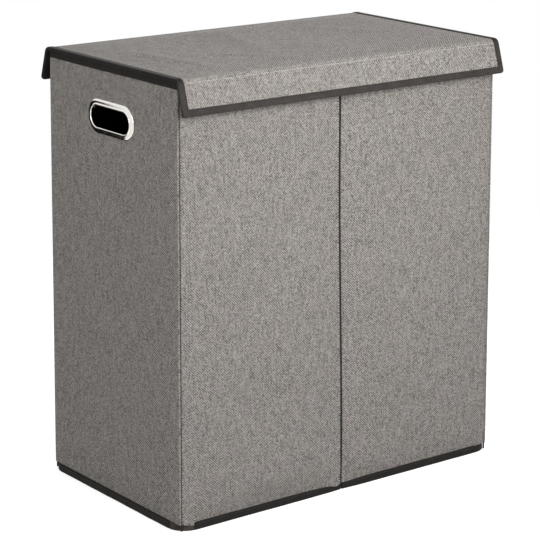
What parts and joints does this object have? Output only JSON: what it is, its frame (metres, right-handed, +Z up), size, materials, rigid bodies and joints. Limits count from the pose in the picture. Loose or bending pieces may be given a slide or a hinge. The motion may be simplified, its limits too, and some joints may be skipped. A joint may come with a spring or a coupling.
{
  "type": "laundry hamper with two bins",
  "caption": "Upright box of cloth-covered boards with two side-by-side bins, a lid sewn on at the back with hanging flaps front and back, and a chrome-ringed handle hole in each side.",
  "frame": {"origin": "on the floor, under the middle of the box", "axes": "+Z up, -Y to the front, +X to the right seen from the front, so the lid is sewn on at +Y and the handle holes are at -X and +X"},
  "size_m": [0.56, 0.351, 0.622],
  "materials": {
    "linen_cloth": "warm grey heathered linen-look twill, matt",
    "black_tape": "black woven binding tape, matt",
    "black_lining": "black non-woven lining, matt",
    "board": "pressed grey-brown fibre board, matt",
    "chrome": "polished"
  },
  "bodies": {
    "box": {"left_wall_cover": "linen_cloth", "left_wall_board": "board", "left_bin_lining": "black_lining", "left_handle_ring": "chrome", "left_handle_washer": "chrome", "right_wall_cover": "linen_cloth", "right_wall_board": "board", "right_bin_lining": "black_lining", "right_handle_ring": "chrome", "right_handle_washer": "chrome", "front_left_cover": "linen_cloth", "front_left_board": "board", "front_right_cover": "linen_cloth", "front_right_board": "board", "back_left_cover": "linen_cloth", "back_left_board": "board", "back_right_cover": "linen_cloth", "back_right_board": "board", "divider_board": "board", "divider_binding": "black_tape", "rim_binding": "black_tape", "foot_binding": "black_tape", "bottom_cloth": "black_lining"},
    "lid": {"lid_board": "board", "lid_cover": "linen_cloth", "lid_lining": "black_lining", "lid_left_binding": "black_tape", "lid_right_binding": "black_tape"},
    "front_flap": {"front_flap_board": "board", "front_flap_cover": "linen_cloth", "front_flap_lining": "black_lining", "front_flap_binding": "black_tape"},
    "back_flap": {"back_flap_board": "board", "back_flap_cover": "linen_cloth", "back_flap_lining": "black_lining", "back_flap_binding": "black_tape"},
    "left_floor": {"left_floor_board": "board", "left_floor_cover": "black_lining"},
    "right_floor": {"right_floor_board": "board", "right_floor_cover": "black_lining"}
  },
  "joints": [
    {"name": "lid_hinge", "type": "hinge", "parent": "box", "child": "lid", "pos_m": [0, 0.1599, 0.6214], "axis": [-1, 0, 0], "range_deg": [0, 178]},
    {"name": "front_flap_fold", "type": "hinge", "parent": "lid", "child": "front_flap", "pos_m": [0, -0.1599, 0.6214], "axis": [-1, 0, 0], "range_deg": [-8, 73]},
    {"name": "back_flap_fold", "type": "hinge", "parent": "box", "child": "back_flap", "pos_m": [0, 0.1599, 0.6214], "axis": [-1, 0, 0], "range_deg": [-73, 8]},
    {"name": "left_floor_board_lift", "type": "slide", "parent": "box", "child": "left_floor", "axis": [0, 0, 1], "range_m": [0, 0.61]},
    {"name": "right_floor_board_lift", "type": "slide", "parent": "box", "child": "right_floor", "axis": [0, 0, 1], "range_m": [0, 0.61]}
  ]
}
